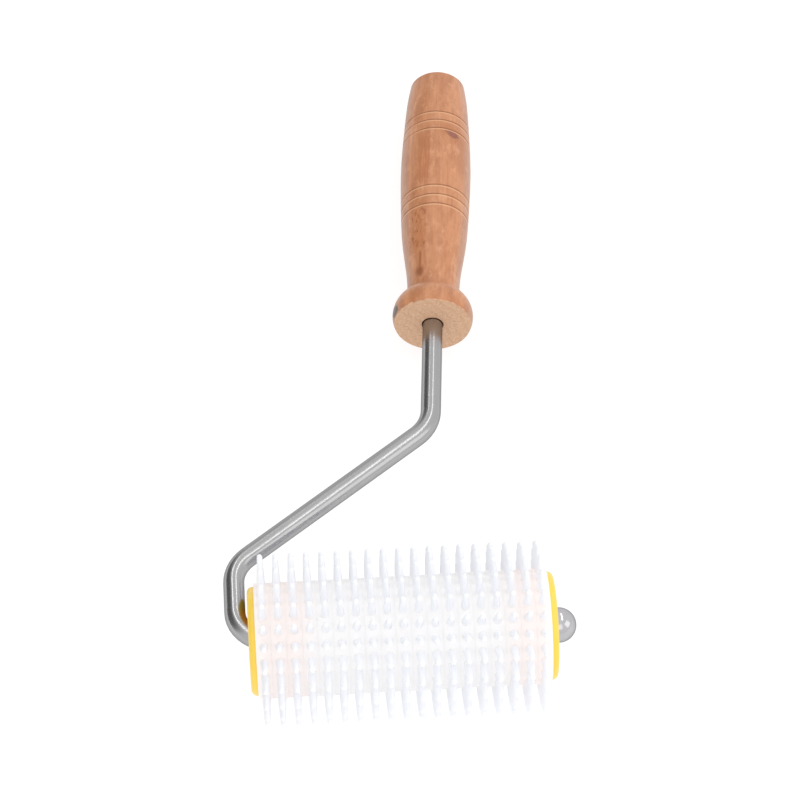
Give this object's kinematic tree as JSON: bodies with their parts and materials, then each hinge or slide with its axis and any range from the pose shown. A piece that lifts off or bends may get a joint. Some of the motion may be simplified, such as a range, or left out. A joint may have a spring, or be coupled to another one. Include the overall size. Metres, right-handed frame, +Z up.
{
  "type": "spiked roller",
  "caption": "Spiked plastic roller on a bent steel rod with a turned wooden handle; rolling presses rows of small holes or bursts trapped air in a soft or wet surface.",
  "frame": {"origin": "middle of the bounding box, on the surface that the spikes and the handle's belly rest on", "axes": "+X along the roller's axle towards the dome nut, +Y from the roller to the handle, +Z up from the surface"},
  "size_m": [0.1314, 0.3159, 0.0643],
  "materials": {
    "rod_steel": "drawn, half polished",
    "beech": "thin clear varnish",
    "white_plastic": "satin, slightly translucent",
    "yellow_plastic": "satin",
    "core_plastic": "as moulded",
    "washer_steel": "zinc plated",
    "nut_chrome": "polished"
  },
  "bodies": {
    "frame": {"frame_rod": "rod_steel", "handle": "beech", "flat_washers": "washer_steel", "dome_nut": "nut_chrome"},
    "roller": {"spike_ring_01": "white_plastic", "spike_ring_02": "white_plastic", "spike_ring_03": "white_plastic", "spike_ring_04": "white_plastic", "spike_ring_05": "white_plastic", "spike_ring_06": "white_plastic", "spike_ring_07": "white_plastic", "spike_ring_08": "white_plastic", "spike_ring_09": "white_plastic", "spike_ring_10": "white_plastic", "spike_ring_11": "white_plastic", "spike_ring_12": "white_plastic", "spike_ring_13": "white_plastic", "spike_ring_14": "white_plastic", "spike_ring_15": "white_plastic", "spike_ring_16": "white_plastic", "spike_ring_17": "white_plastic", "spike_ring_18": "white_plastic", "spike_ring_19": "white_plastic", "end_cap_bend": "yellow_plastic", "end_cap_nut": "yellow_plastic", "core_tube": "core_plastic"}
  },
  "joints": [
    {"name": "roller_spin", "type": "hinge", "parent": "frame", "child": "roller", "pos_m": [0.00044, -0.12581, 0.03213], "axis": [1, 0, 0], "continuous": true}
  ]
}
